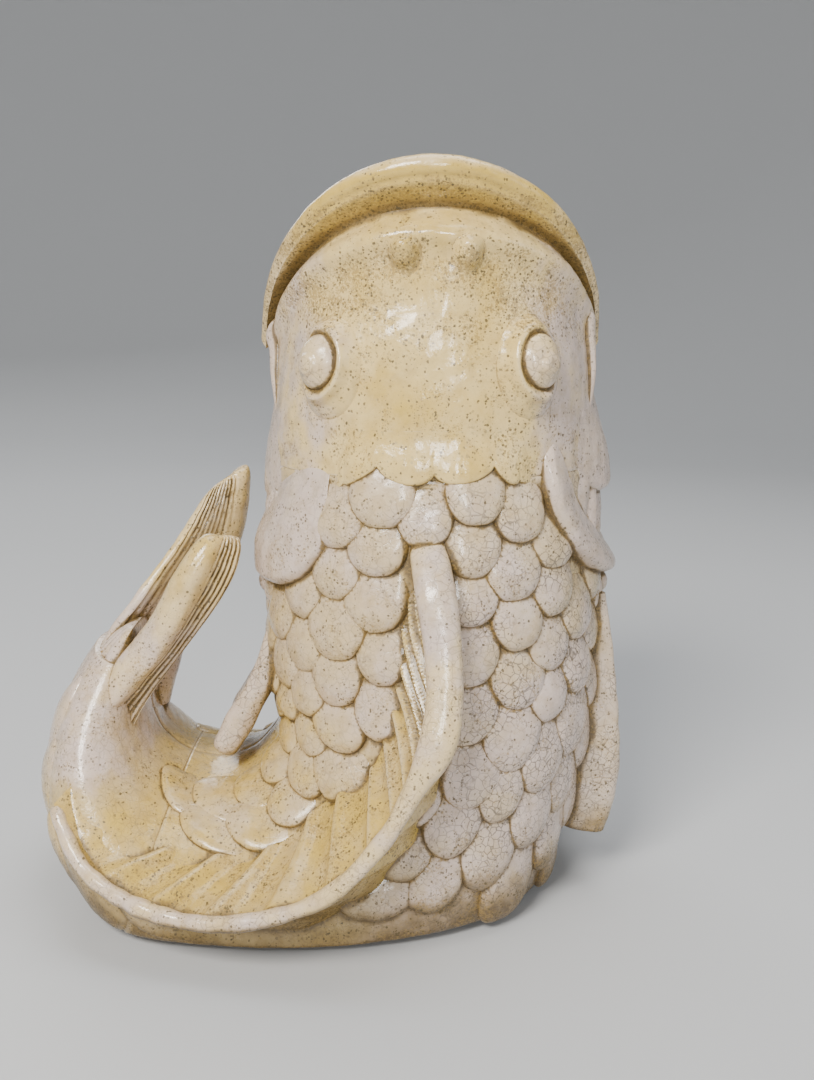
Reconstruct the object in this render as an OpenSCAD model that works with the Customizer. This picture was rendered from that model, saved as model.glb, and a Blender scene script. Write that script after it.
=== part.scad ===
// Carp umbrella stand: a hollow glazed stoneware fish standing on its own
// curled body, mouth open upward, tail curling back up beside the trunk.
// Millimetres, +Z up. The origin is on the ground, at the centre of the
// footprint. +X is the back of the curl (the fish's belly-side bulge), -X is
// the tail side, and -Y is the dorsal face that carries the fin crest.
// The skin is swept along a J-shaped spine. A place on it is given by a
// station number (0 at the mouth, 20 at the tail root) and an angle round the
// body (0 = +X, 90 = -Y, 180 = toward the tail).

/* [Body] */
// Height of the mouth stations' top plane above the ground
head_top = 560; // [480:10:640]
// Height where the straight trunk ends and the curl begins
curl_start = 165; // [140:5:200]
// Half width of the trunk, side to side
trunk_half_width = 125; // [110:1:150]
// Half depth of the trunk, dorsal to ventral
trunk_half_depth = 125; // [105:1:145]
// Wall thickness of the pressed clay
wall = 9; // [6:0.5:14]
// Distance from the trunk axis to the centre of the curl
curl_offset = 172; // [150:2:200]
// Radius of the seat on the inside of the curl
seat_radius = 50; // [35:1:70]
// How much deeper the seat dips at the bottom of the curl
seat_drop = 20; // [0:1:30]
// Height of the flat foot under the curl
foot_rise = 5; // [3:0.5:10]

/* [Mouth] */
// Height of the lip crease at the middle of the upper lip
crease_front = 521; // [480:1:560]
// Height of the lip crease at the middle of the lower lip
crease_back = 496; // [450:1:550]
// Height of the crease at the corners of the mouth
crease_corner = 432; // [400:1:460]
// Rise of the flared lip above its crease, upper lip
lip_rise = 33; // [15:1:45]
// Outward flare of the lip
lip_flare = 13; // [8:1:28]

/* [Eyes and nostrils] */
// Radius of the eyelid ring along the body
eyelid_radius = 31; // [24:0.5:38]
// Radius of the eyeball dome
eyeball_radius = 19; // [14:0.5:24]
// Radius of a nostril bead
nostril_radius = 9.5; // [7:0.5:13]

/* [Scales] */
// Number of scale columns round the body
scale_columns = 24; // [20:2:30]
// Length of one scale course at the nape
scale_pitch = 35; // [28:0.5:44]
// How much each course grows over the one above it
scale_growth = 0.55; // [0:0.05:1]
// Height of a scale's crown above the skin
scale_crown = 4.6; // [2:0.2:7]
// Number of courses from nape to tail
scale_courses = 17; // [10:1:20]

/* [Fins] */
// Thickness of the pectoral fin slabs
pectoral_thickness = 20; // [12:1:28]
// Radius of the rolled crest on the dorsal fin
crest_radius = 9.5; // [6:0.5:14]
// Thickness of the caudal fin lobes
caudal_thickness = 16; // [10:1:24]
// Depth of the ray grooves in the fins
ray_depth = 1.6; // [0:0.1:3]

/* [Output] */
// Which node to draw

/* [Hidden] */
// Shift from the trunk axis to the centre of the footprint's bounding box
axis_x = 79.7;
axis_y = 25.34;
trunk_lean = 2.5;
last_station = 19;
straight_stations = 9;
foot_blend = 9;
station_step = (head_top - curl_start) / straight_stations;
flat = 4;
side_columns = 18;
clay = [0.86, 0.80, 0.66];
clay_dark = [0.66, 0.56, 0.36];
clay_pale = [0.90, 0.87, 0.80];
clay_grey = [0.78, 0.75, 0.76];

// ---------- small maths ----------
function mix(a, b, f) = a + (b - a) * f;
function unit(p) = p / max(norm(p), 0.0001);
function clamp(x, lo, hi) = min(max(x, lo), hi);
function smooth(x) = let (c = clamp(x, 0, 1)) c * c * (3 - 2 * c);
function spline(p, q, r, s, f) =
  0.5 * (2 * q + (r - p) * f + (2 * p - 5 * q + 4 * r - s) * f * f
    + (3 * q - p - 3 * r + s) * f * f * f);
function pick(list, i) = list[clamp(i, 0, len(list) - 1)];
// A point part of the way along a list of knots, u from 0 to 1
function along(list, u) = let (
    x = clamp(u, 0, 1) * (len(list) - 1),
    i = min(floor(x), len(list) - 2)
  ) spline(pick(list, i - 1), list[i], list[i + 1], pick(list, i + 2), x - i);

// ---------- the spine ----------
// Straight stations: half width and half depth at each, mouth to trunk foot
head_widths = [106, 110, 114, 118.5, 122, 123.5, 124.5, 125, 125];
head_depths = [98, 105, 112, 116, 119, 121, 123, 125, 126];
// Curl stations: angle from the curl centre, outer radius, half depth
curl_knots = [
  [0, 300, 126], [-20, 300, 130], [-40, 318, 137], [-62, 296, 146],
  [-85, 238, 146], [-108, 218, 137], [-130, 182, 118], [-150, 154, 98],
  [-168, 127, 79], [-185, 108, 63], [-198, 98, 51]
];
function seat(a) = seat_radius + seat_drop * max(0, -sin(a));
function straight(i) = [
    trunk_lean, head_top - station_step * i, 0,
    head_widths[i] * trunk_half_width / 125,
    head_depths[i] * trunk_half_depth / 125
  ];
function curled(k) = let (mid = (seat(k[0]) + k[1]) / 2) [
    cos(k[0]) * mid - curl_offset, curl_start + sin(k[0]) * mid,
    k[0], (k[1] - seat(k[0])) / 2, k[2] * trunk_half_depth / 125
  ];
stations = concat(
  [for (i = [0 : straight_stations - 1]) straight(i)],
  [for (k = curl_knots) curled(k)]);
function station(t) = along(stations, t / last_station);
function settle(z, h) = let (
    level = foot_rise - min(h, flat),
    d = z - level
  ) level + (d + sqrt(d * d + foot_blend * foot_blend)) / 2;
// A point on the body: station, angle round it, height above the skin
function skin(t, v, h = 0) = let (
    s = station(t),
    c = cos(v) * (s[3] + h)
  ) [
    s[0] + c * cos(s[2]),
    -sin(v) * (s[4] + h),
    settle(s[1] + c * sin(s[2]), h)
  ];

// ---------- solids from grids ----------
function grid_faces(r, c, o, flip) = [
    for (i = [0 : r - 2]) for (j = [0 : c - 2])
      let (a = o + i * c + j)
      each flip
        ? [[a, a + c, a + 1], [a + 1, a + c, a + c + 1]]
        : [[a, a + 1, a + c], [a + 1, a + c + 1, a + c]]
  ];
function flat_list(g) = [for (row = g) each row];
// A closed slab between a front grid and a back grid of the same size
module slab(front, back) {
  r = len(front);
  c = len(front[0]);
  n = r * c;
  i = floor((r - 1) / 2);
  j = floor((c - 1) / 2);
  side = cross(front[i][j + 1] - front[i][j], front[i + 1][j] - front[i][j]);
  flip = side * (back[i][j] - front[i][j]) < 0;
  rim = concat(
    [for (k = [0 : c - 1]) k],
    [for (k = [1 : r - 1]) k * c + c - 1],
    [for (k = [c - 2 : -1 : 0]) (r - 1) * c + k],
    [for (k = [r - 2 : -1 : 1]) k * c]);
  m = len(rim);
  edge = [for (k = [0 : m - 1])
      let (a = rim[k], b = rim[(k + 1) % m])
      each flip
        ? [[a, b, b + n], [a, b + n, a + n]]
        : [[a, b + n, b], [a, a + n, b + n]]
    ];
  polyhedron(
    points = concat(flat_list(front), flat_list(back)),
    faces = concat(
      grid_faces(r, c, 0, flip),
      grid_faces(r, c, n, !flip),
      edge));
}
// A closed tube through a list of rings, with flat ends
module tube(rings) {
  r = len(rings);
  c = len(rings[0]);
  mid = (rings[0][0] + rings[0][floor(c / 2)]) / 2;
  turn = cross(rings[0][0] - mid, rings[0][1] - mid);
  flip = turn * (rings[1][0] - rings[0][0]) > 0;
  body = [for (i = [0 : r - 2]) for (j = [0 : c - 1])
      let (a = i * c + j, b = i * c + (j + 1) % c)
      each flip
        ? [[a, a + c, b], [b, a + c, b + c]]
        : [[a, b, a + c], [b, b + c, a + c]]
    ];
  first = [for (j = [0 : c - 1]) flip ? j : c - 1 - j];
  last = [for (j = [0 : c - 1]) (r - 1) * c + (flip ? c - 1 - j : j)];
  polyhedron(
    points = flat_list(rings),
    faces = concat(body, [first, last]));
}
module at_foot() translate([axis_x, axis_y, 0]) children();

// ---------- body shells ----------
module shell(t0, t1, rows, v0, v1, columns) {
  at_foot() slab(
    [for (i = [0 : rows]) [for (j = [0 : columns])
      skin(mix(t0, t1, i / rows), mix(v0, v1, j / columns))]],
    [for (i = [0 : rows]) [for (j = [0 : columns])
      skin(mix(t0, t1, i / rows), mix(v0, v1, j / columns), -wall)]]);
}
// Height of the lip crease round the mouth
function crease(v) = crease_corner
  + ((sin(v) > 0 ? crease_front : crease_back) - crease_corner)
    * pow(abs(sin(v)), 0.7);
function crease_station(v) = (head_top - crease(v)) / station_step;
module head_shell(v0) {
  rows = 7;
  at_foot() slab(
    [for (i = [0 : rows]) [for (j = [0 : side_columns])
      let (v = v0 + 180 * j / side_columns)
      skin(mix(crease_station(v), 5, i / rows), v)]],
    [for (i = [0 : rows]) [for (j = [0 : side_columns])
      let (v = v0 + 180 * j / side_columns)
      skin(mix(crease_station(v), 5, i / rows), v, -wall)]]);
}
module head_shell_front() color(clay) head_shell(0);
module head_shell_rear() color(clay) head_shell(180);
module trunk_shell_front() color(clay) shell(5, 9, 5, 0, 180, side_columns);
module trunk_shell_rear() color(clay) shell(5, 9, 5, 180, 360, side_columns);
module curl_shell_front() color(clay) shell(9, 14, 12, 0, 180, side_columns);
module curl_shell_rear() color(clay) shell(9, 14, 12, 180, 360, side_columns);
module tail_shell_front() color(clay) shell(14, 19, 9, 0, 180, 14);
module tail_shell_rear() color(clay) shell(14, 19, 9, 180, 360, 14);
// The unglazed flat foot luted under the curl
module foot_slab() {
  foot_radius = 104;
  color(clay_dark) at_foot() hull() {
    translate([-18, 0, 0])
      cylinder(r = foot_radius, h = foot_rise + 1, $fn = 96);
    translate([-160, 0, 0])
      cylinder(r = foot_radius, h = foot_rise + 1, $fn = 96);
  }
}

// ---------- mouth ----------
function lip_point(v, out, z) = let (s = station(crease_station(v))) [
    cos(v) * (s[3] + out), -sin(v) * (s[4] + out), z
  ];
function lip_ring(v, top, flare) = let (
    z0 = crease(v),
    z1 = mix(crease_corner + 6, top, pow(abs(sin(v)), 0.87)),
    f = flare * (0.85 + 0.15 * abs(sin(v)))
  ) [
    for (q = [0, 0.3, 0.55, 0.8, 1])
      lip_point(v, f * (1 - cos(90 * q)), mix(z0 - 2, z1, sin(90 * q))),
    lip_point(v, f - 2.5, z1 + 1.6),
    for (q = [0.95, 0.7, 0.35, 0])
      lip_point(v, mix(-wall, f - 6, q * q), mix(z0 - 2, z1, q))
  ];
module lip(v0, top) {
  at_foot() tube([for (j = [0 : 26])
    lip_ring(v0 + 180 * j / 26, top, lip_flare)]);
}
module upper_lip() color(clay_pale) lip(0, crease_front + lip_rise - 2);
module lower_lip() color(clay_pale) lip(180, crease_back + lip_rise * 0.7);

// ---------- raised work on the skin ----------
// A rounded bead laid along a list of [station, angle, half width, height]
degree_mm = 3.14159 * trunk_half_width / 180;
function bead_ring(p, q, k) = let (
    dt = (q[0] - p[0]) * station_step,
    dv = (q[1] - p[1]) * degree_mm,
    len = max(norm([dt, dv]), 0.001),
    ut = -dv / len / station_step,
    uv = dt / len / degree_mm
  ) [
    for (a = [0 : 30 : 180])
      skin(k[0] + ut * cos(a) * k[2], k[1] + uv * cos(a) * k[2],
        sin(a) * k[3] - 1),
    skin(k[0] - ut * k[2] * 0.6, k[1] - uv * k[2] * 0.6, -3),
    skin(k[0] + ut * k[2] * 0.6, k[1] + uv * k[2] * 0.6, -3)
  ];
module bead(path, steps) {
  at_foot() tube([for (i = [0 : steps])
    let (u = i / steps)
    bead_ring(along(path, max(u - 0.02, 0)), along(path, min(u + 0.02, 1)),
      along(path, u))]);
}
module barbel(v0, v1) {
  bead([
    [2.5, v0, 4.5, 5], [3, v0, 5, 7],
    [3.6, mix(v0, v1, 0.5), 4, 5], [4.2, v1, 2, 2]
  ], 10);
}
module barbel_left() color(clay_grey) barbel(172, 167);
module barbel_right() color(clay_grey) barbel(19, 21);

// Stands a child on the head, its +Z along the outward normal
module on_head(t, v, h) {
  at_foot() translate(skin(t, v, h)) rotate([0, 0, -v]) rotate([0, 90, 0])
    children();
}
module nostril(v) on_head(1.53, v, 0) sphere(r = nostril_radius, $fn = 40);
module nostril_left() color(clay_dark) nostril(101);
module nostril_right() color(clay_dark) nostril(80);

// Eyelid: a tall swelling with a round socket for the eyeball
module eyelid(t, v, lean) {
  on_head(t, v, -5) rotate([0, lean, 0]) scale([1, 0.78, 1])
    rotate_extrude($fn = 28) polygon([
      [eyeball_radius - 3, 0], [eyelid_radius, 0],
      [eyelid_radius - 1, 6], [eyelid_radius - 4, 11],
      [eyelid_radius - 7.5, 14.5], [eyeball_radius + 1.5, 16],
      [eyeball_radius - 2, 14], [eyeball_radius - 3, 11]
    ]);
}
module eyeball(t, v, lean) {
  on_head(t, v, -5) rotate([0, lean, 0])
    rotate_extrude($fn = 48) polygon(concat(
      [[0, 0], [eyeball_radius - 3, 0]],
      [for (a = [0 : 15 : 75])
        [(eyeball_radius - 1) * cos(a), 12 + 9 * sin(a)]],
      [[2, 21], [1.2, 19.4], [0, 19]]));
}
module eyelid_left() color(clay) eyelid(3.35, 126, 8);
module eyelid_right() color(clay) eyelid(3.3, 60, 8);
module eyeball_left() color(clay_pale) eyeball(3.22, 129, 8);
module eyeball_right() color(clay_pale) eyeball(3.2, 57, 8);

// Scalloped edge of the smooth head, lapping over the first scales
module nape_apron() {
  columns = 30;
  function edge(u) = 4.95 + 0.55 * pow(abs(2 * u - 1), 3)
    + 0.13 * abs(sin(u * 180 * 5));
  color(clay) at_foot() slab(
    [for (i = [0 : 4]) [for (j = [0 : columns])
      let (u = j / columns, f = i / 4)
      skin(mix(4.3, edge(u), f), mix(56, 126, u), 3.2 * smooth(f * 1.6))]],
    [for (i = [0 : 4]) [for (j = [0 : columns])
      let (u = j / columns, f = i / 4)
      skin(mix(4.3, edge(u), f), mix(56, 126, u), -2)]]);
}

// Cheek: the bulging lower lobe of the head below each eye
cheek_edge = [4.3, 4.5, 5.1, 5.45, 5.5, 5.2, 4.7];
module cheek(v0, v1, bulge) {
  rows = 7;
  columns = 14;
  at_foot() slab(
    [for (i = [0 : rows]) [for (j = [0 : columns])
      let (u = j / columns, f = i / rows)
      skin(mix(3.6, along(cheek_edge, u), f), mix(v0, v1, u),
        -1 + bulge * smooth(f * 1.5) * pow(sin(12 + 156 * u), 0.5)
          * (1 - 0.45 * pow(f, 6)))]],
    [for (i = [0 : rows]) [for (j = [0 : columns])
      let (u = j / columns, f = i / rows)
      skin(mix(3.6, along(cheek_edge, u), f), mix(v0, v1, u), -3)]]);
}
module cheek_left() color(clay_grey) cheek(128, 210, 5);
module cheek_right() color(clay_grey) cheek(54, -30, 10);

// Gill fringe: the feathered recess between cheek and gill cover
module gill_fringe(v0, v1) {
  rows = 5;
  columns = 18;
  low = [5.0, 5.9, 6.4, 6.6, 6.5, 6.0, 5.4];
  at_foot() slab(
    [for (i = [0 : rows]) [for (j = [0 : columns])
      let (u = j / columns, f = i / rows)
      skin(mix(along(cheek_edge, u) - 0.3, along(low, u), f),
        mix(v0, v1, u), 3 + 1.4 * cos(180 * j) * f)]],
    [for (i = [0 : rows]) [for (j = [0 : columns])
      let (u = j / columns, f = i / rows)
      skin(mix(along(cheek_edge, u) - 0.3, along(low, u), f),
        mix(v0, v1, u), -2)]]);
}
module gill_fringe_left() color(clay_grey) gill_fringe(124, 205);
module gill_fringe_right() color(clay_grey) gill_fringe(50, -25);

// Gill cover: the thick rolled crescent below the fringe
function gill_path(c, s) = [
    [4.55, c + s * 34, 4, 4], [5.2, c + s * 33, 6, 7],
    [5.85, c + s * 28, 8, 9], [6.3, c + s * 20, 10, 12],
    [6.62, c + s * 7, 12, 15], [6.62, c - s * 9, 12, 16],
    [6.2, c - s * 26, 11, 15], [5.7, c - s * 40, 8, 10],
    [5.1, c - s * 46, 4, 4]
  ];
function lowered(path, f) = [for (k = path) [k[0], k[1], k[2], k[3] * f]];
module gill_cover_left() {
  color(clay_grey) bead(lowered(gill_path(159, -1), 0.5), 22);
}
module gill_cover_right() {
  color(clay_grey) bead(gill_path(20, 1), 22);
}

// ---------- pectoral fins ----------
module fin_knob(v) on_head(7.2, v, 3) sphere(r = 11.5, $fn = 40);
module fin_knob_left() color(clay_grey) fin_knob(177);
module fin_knob_right() color(clay_grey) fin_knob(4);

// A fin slab from two edges (front and back), with rays along its length
module fin(fronts, backs, thick, rows, columns, rays) {
  function place(u, w) = mix(along(fronts, u), along(backs, u), w);
  function face(u, w) = unit(cross(
    along(backs, u) - along(fronts, u),
    place(min(u + 0.05, 1), w) - place(max(u - 0.05, 0), w)));
  function depth(u, w) = thick * (1 - 0.4 * w) / 2
      * pow(sin(180 * mix(0.1, 0.92, w)), 0.35)
      * (1 - 0.2 * pow(u, 8))
    - (w > 0.12 ? ray_depth * pow(cos(180 * rays * w), 2) : 0);
  function side(s) = [for (i = [0 : rows]) [for (j = [0 : columns])
      let (u = i / rows, w = j / columns)
      place(u, w) + s * face(u, w) * depth(u, w)]];
  at_foot() slab(side(1), side(-1));
}
module pectoral_fin_left() color(clay_grey) fin(
  [[-112, -30, 240], [-119, -38, 208], [-129, -43, 174], [-143, -46, 148],
    [-164, -48, 110]],
  [[-112, 12, 240], [-118, 34, 206], [-131, 56, 174], [-146, 68, 148],
    [-169, 80, 110]],
  pectoral_thickness, 10, 20, 8);
module pectoral_fin_right() color(clay_grey) fin(
  [[132, -30, 238], [138, -34, 190], [141, -34, 130], [139, -30, 82],
    [130, -24, 46]],
  [[130, 12, 240], [136, 38, 195], [140, 66, 140], [138, 84, 90],
    [130, 92, 52]],
  pectoral_thickness, 11, 20, 8);

// ---------- dorsal fin ----------
dorsal_left = [
  [6, 93], [6.6, 97], [7.3, 101], [8, 103], [8.6, 105], [9.3, 108],
  [10, 113], [11, 118], [12.2, 118], [13.4, 117], [14.7, 113], [16, 104]
];
dorsal_right = [
  [6, 91], [6.7, 89.5], [7.4, 87], [8.1, 86], [8.7, 85], [9.4, 85],
  [10.1, 89], [11, 94.5], [12.2, 98], [13.4, 98], [14.7, 95], [16, 92]
];
// Path of the crest, relative to the trunk axis at the ground
dorsal_crest = [
  [-5, -126, 295], [2, -146, 263], [6, -156, 231], [7, -167, 200],
  [2, -177, 172], [-13, -184, 144], [-36, -190, 107], [-76, -191, 68],
  [-138, -181, 45], [-197, -164, 45], [-247, -138, 62], [-276, -108, 98]
];
module dorsal_fin_web() {
  rows = 48;
  rays = 17;
  function crest_at(u) = along(dorsal_crest, u);
  function root(list, u) = let (p = along(list, u)) skin(p[0], p[1], -3);
  function ripple(u, w) =
    ray_depth * cos(360 * rays * (u - 0.1 * w)) * sin(180 * w);
  function face(list, u, s) = [for (w = [0, 0.2, 0.4, 0.6, 0.8, 1])
      let (
        a = root(list, u),
        b = crest_at(u) + s * across(u) * crest_radius * 0.55,
        d = s * across(u)
      )
      mix(a, b, w) + d * (ripple(u, w) - 3 * sin(180 * w))];
  function across(u) = unit(cross(
    crest_at(min(u + 0.02, 1)) - crest_at(max(u - 0.02, 0)),
    crest_at(u) - (root(dorsal_left, u) + root(dorsal_right, u)) / 2));
  color(clay_dark) at_foot() slab(
    [for (i = [0 : rows]) face(dorsal_left, i / rows, -1)],
    [for (i = [0 : rows]) face(dorsal_right, i / rows, 1)]);
}
module dorsal_fin_crest() {
  steps = 34;
  sides = 10;
  color(clay_pale) at_foot() tube([for (i = [0 : steps])
    let (
      u = i / steps,
      p = along(dorsal_crest, u),
      d = unit(along(dorsal_crest, min(u + 0.02, 1))
        - along(dorsal_crest, max(u - 0.02, 0))),
      a = unit(cross(d, [0, -1, 0.2])),
      b = cross(a, d),
      r = crest_radius * (0.55 + 0.45 * smooth(sin(180 * u) * 3))
        * mix(1, 0.6, smooth((u - 0.55) / 0.3))
    )
    [for (k = [0 : sides - 1])
      p + r * (a * cos(360 * k / sides) + b * sin(360 * k / sides))]]);
}

// ---------- caudal fin ----------
// Solid root that closes the tail stalk and tapers into the two lobes. Each
// row is centre x, y, z, lean of the section, half thickness, half depth.
caudal_sections = [
  [-251, 0, 162, 170, 24, 46], [-246, -4, 184, 163, 21, 48],
  [-236, -12, 206, 152, 15, 42], [-222, -22, 228, 142, 9, 30],
  [-205, -30, 250, 136, 4, 18]
];
module caudal_root() {
  color(clay_pale) at_foot() tube([for (i = [0 : 8])
    let (k = along(caudal_sections, i / 8))
    [for (a = [0 : 22.5 : 337.5])
      [k[0] + cos(a) * k[4] * cos(k[3]), k[1] - sin(a) * k[5],
        k[2] + cos(a) * k[4] * sin(k[3])]]]);
}
module caudal_lobe_front() color(clay_pale) fin(
  [[-252, -34, 148], [-236, -50, 180], [-212, -57, 217], [-190, -58, 260],
    [-172, -48, 290]],
  [[-232, -12, 136], [-213, -26, 170], [-184, -36, 206], [-152, -38, 250],
    [-140, -36, 284]],
  caudal_thickness, 10, 18, 6);
module caudal_lobe_rear() color(clay_pale) fin(
  [[-274, -22, 160], [-250, -18, 196], [-224, -8, 232], [-195, 10, 270],
    [-170, 40, 314]],
  [[-236, 40, 160], [-212, 56, 188], [-184, 68, 226], [-158, 72, 272],
    [-150, 62, 326]],
  caudal_thickness, 10, 20, 7);

// ---------- scales ----------
// Scales lie on a lattice: columns round the body, courses along it. Each
// column has a table from distance along the skin to station number.
column_angle = 360 / scale_columns;
function column_v(c) = 94 - column_angle * c;
scale_start = 4.75;
scale_end = 18.6;
table_step = 0.2;
function run(t, v) = norm(skin(t + table_step, v, 0) - skin(t, v, 0));
function distances(v, t, s) = t > scale_end
  ? [[s, t]]
  : concat([[s, t]], distances(v, t + table_step,
      s + max(mix(run(t, 90), run(t, v), 0.55), 4)));
tables = [for (c = [0 : scale_columns - 1])
    distances(column_v(c), scale_start, 0)];
function course_distance(r) = scale_pitch * r + scale_growth * r * r;
function column_station(c, r) =
  lookup(course_distance(r), tables[(c + 2 * scale_columns) % scale_columns]);
function lattice(c, r) = let (i = floor(c + 0.0001), f = c - i)
  [mix(column_station(i, r), column_station(i + 1, r), f), column_v(c)];
// Outline of a scale on the lattice, in columns and courses from its centre:
// its own rounded tip, then the hollows left by the scales that lap it
scale_reach = 0.78;
scale_hollow = 1 - scale_reach * cos(45);
scale_outline = [
  for (a = [0 : 45 : 180]) [scale_reach * cos(a), 0.5 * sin(a)],
  [-scale_hollow, -0.5 + 0.5 * sin(45)],
  [scale_reach - 1, -0.52],
  [1 - scale_reach, -0.52],
  [scale_hollow, -0.5 + 0.5 * sin(45)]
];
rim = len(scale_outline);
function scale_point(c, r, o, size, h) =
  let (p = lattice(c + o[0] * size, r + o[1] * size)) skin(p[0], p[1], h);
function scale_points(c, r) = concat(
  [for (o = scale_outline) scale_point(c, r, o, 0.96, -0.8)],
  [for (o = scale_outline) scale_point(c, r, o, 0.7, scale_crown * 0.75)],
  [scale_point(c, r, [0, 0.1], 1, scale_crown)]);
function scale_faces(o) = [
    for (k = [0 : rim - 1]) let (a = o + k, b = o + (k + 1) % rim)
      each [[a, b, a + rim], [b, b + rim, a + rim],
        [a + rim, b + rim, o + 2 * rim]],
    for (k = [1 : rim - 2]) [o, o + k + 1, o + k]
  ];
function dorsal_v(t) = lookup(t, dorsal_left);
// A scale is left out under the gills, under the dorsal fin and on the foot
function scale_shown(c, r) = let (
    p = lattice(c, r),
    t = p[0],
    v = (p[1] + 360) % 360,
    s = station(t),
    z = s[1] + cos(v) * s[3] * sin(s[2])
  ) t > 5.05 && t < scale_end - 0.5 && z > 22
    && !(t < 6.75 && (v < 48 || v > 132) && (v > 315 || v < 225))
    && !(t > 9.6 && t < 17 && v > 158 && v < 202)
    && !(t > 6 && abs(v - dorsal_v(t) + 5) < 9)
    && !(t > 10.4 && t < 16 && v > 84 && v < dorsal_v(t) + 4);
module scales(i) {
  list = [for (c = [0 : scale_columns - 1])
      let (r = i - 0.5 + (c % 2 == 0 ? 0.5 : 0))
      if (scale_shown(c, r)) [c, r]];
  at_foot() if (len(list) > 0) polyhedron(
    points = [for (s = list) each scale_points(s[0], s[1])],
    faces = [for (k = [0 : len(list) - 1]) each scale_faces((2 * rim + 1) * k)]);
}
module scales_01() color(clay) scales(1);
module scales_02() color(clay) scales(2);
module scales_03() color(clay) scales(3);
module scales_04() color(clay) scales(4);
module scales_05() color(clay) scales(5);
module scales_06() color(clay) scales(6);
module scales_07() color(clay) scales(7);
module scales_08() color(clay) scales(8);
module scales_09() color(clay) scales(9);
module scales_10() color(clay) scales(10);
module scales_11() color(clay) scales(11);
module scales_12() color(clay) scales(12);
module scales_13() color(clay) scales(13);
module scales_14() color(clay) scales(14);
module scales_15() color(clay) scales(15);
module scales_16() color(clay) scales(16);
module scales_17() color(clay) scales(17);

// ---------- output ----------
foot_slab();
head_shell_front();
head_shell_rear();
trunk_shell_front();
trunk_shell_rear();
curl_shell_front();
curl_shell_rear();
tail_shell_front();
tail_shell_rear();
upper_lip();
lower_lip();
barbel_left();
barbel_right();
nostril_left();
nostril_right();
eyelid_left();
eyelid_right();
eyeball_left();
eyeball_right();
nape_apron();
cheek_left();
cheek_right();
gill_fringe_left();
gill_fringe_right();
gill_cover_left();
gill_cover_right();
fin_knob_left();
fin_knob_right();
pectoral_fin_left();
pectoral_fin_right();
dorsal_fin_web();
dorsal_fin_crest();
caudal_root();
caudal_lobe_front();
caudal_lobe_rear();
scales_01();
scales_02();
scales_03();
scales_04();
scales_05();
scales_06();
scales_07();
scales_08();
scales_09();
scales_10();
scales_11();
scales_12();
scales_13();
scales_14();
scales_15();
scales_16();
scales_17();
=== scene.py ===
import math

import bpy
import numpy as np
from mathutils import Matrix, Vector
from mathutils.bvhtree import BVHTree


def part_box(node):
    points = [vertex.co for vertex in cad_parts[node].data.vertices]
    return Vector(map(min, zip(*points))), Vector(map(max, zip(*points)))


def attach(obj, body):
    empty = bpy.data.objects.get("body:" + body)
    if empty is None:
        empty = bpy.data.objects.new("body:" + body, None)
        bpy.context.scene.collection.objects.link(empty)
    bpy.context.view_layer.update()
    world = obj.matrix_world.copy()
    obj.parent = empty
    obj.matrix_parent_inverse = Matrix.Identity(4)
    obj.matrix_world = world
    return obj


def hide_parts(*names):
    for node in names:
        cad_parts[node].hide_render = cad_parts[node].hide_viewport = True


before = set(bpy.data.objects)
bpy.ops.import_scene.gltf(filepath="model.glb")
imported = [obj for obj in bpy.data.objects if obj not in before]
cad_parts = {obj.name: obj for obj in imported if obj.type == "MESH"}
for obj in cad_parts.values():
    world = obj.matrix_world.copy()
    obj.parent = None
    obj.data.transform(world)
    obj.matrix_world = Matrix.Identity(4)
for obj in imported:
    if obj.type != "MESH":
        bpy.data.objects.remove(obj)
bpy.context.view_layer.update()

# The shape is worked out in millimetres from the trunk axis, as in the part:
# a place on the body is a station t (0 mouth, 19 tail root), an angle v round
# it (0 = +X, 90 = -Y, 180 = -X) and a height h above the skin.
MM = 0.001
HEAD_TOP = 560
CURL_START = 165
CURL_OFFSET = 172
SEAT_RADIUS = 50
SEAT_DROP = 20
FOOT_RISE = 5
FOOT_BLEND = 9
FLAT = 4
WALL = 9
SEAM_T = 0.03
SEAM_V = 0.7
LEAN = 2.5
LAST = 19
STEP = (HEAD_TOP - CURL_START) / 9
DEGREE = math.pi * 125 / 180
FOOT_CENTRE_X = -89

foot_lo, foot_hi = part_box("foot_slab")
AXIS = np.array(
    [
        (foot_lo.x + foot_hi.x) / 2 - FOOT_CENTRE_X * MM,
        (foot_lo.y + foot_hi.y) / 2,
        0.0,
    ]
)


# ---------- small maths ----------
def cosd(a):
    return np.cos(np.radians(a))


def sind(a):
    return np.sin(np.radians(a))


def mix(a, b, f):
    return a + (b - a) * f


def smooth(x):
    c = np.clip(x, 0, 1)
    return c * c * (3 - 2 * c)


def hill(x, centre, width):
    return np.exp(-(((x - centre) / width) ** 2))


def dome(r, power=2.0):
    return np.maximum(1 - np.abs(r) ** power, 0) ** (1 / power)


def unit(p):
    return p / np.maximum(np.linalg.norm(p, axis=-1, keepdims=True), 1e-6)


def along(knots, u):
    """A point part of the way along a list of knots, u from 0 to 1."""
    k = np.asarray(knots, float)
    single = k.ndim == 1
    if single:
        k = k[:, None]
    n = len(k) - 1
    x = np.clip(np.asarray(u, float), 0, 1) * n
    i = np.minimum(np.floor(x).astype(int), n - 1)
    f = (x - i)[..., None]
    p, q = k[np.maximum(i - 1, 0)], k[i]
    r, s = k[i + 1], k[np.minimum(i + 2, n)]
    out = 0.5 * (
        2 * q
        + (r - p) * f
        + (2 * p - 5 * q + 4 * r - s) * f * f
        + (3 * q - p - 3 * r + s) * f**3
    )
    return out[..., 0] if single else out


def turn(v, centre):
    """Signed angle from centre to v, in -180 to 180."""
    return (np.asarray(v) - centre + 180) % 360 - 180


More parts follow.
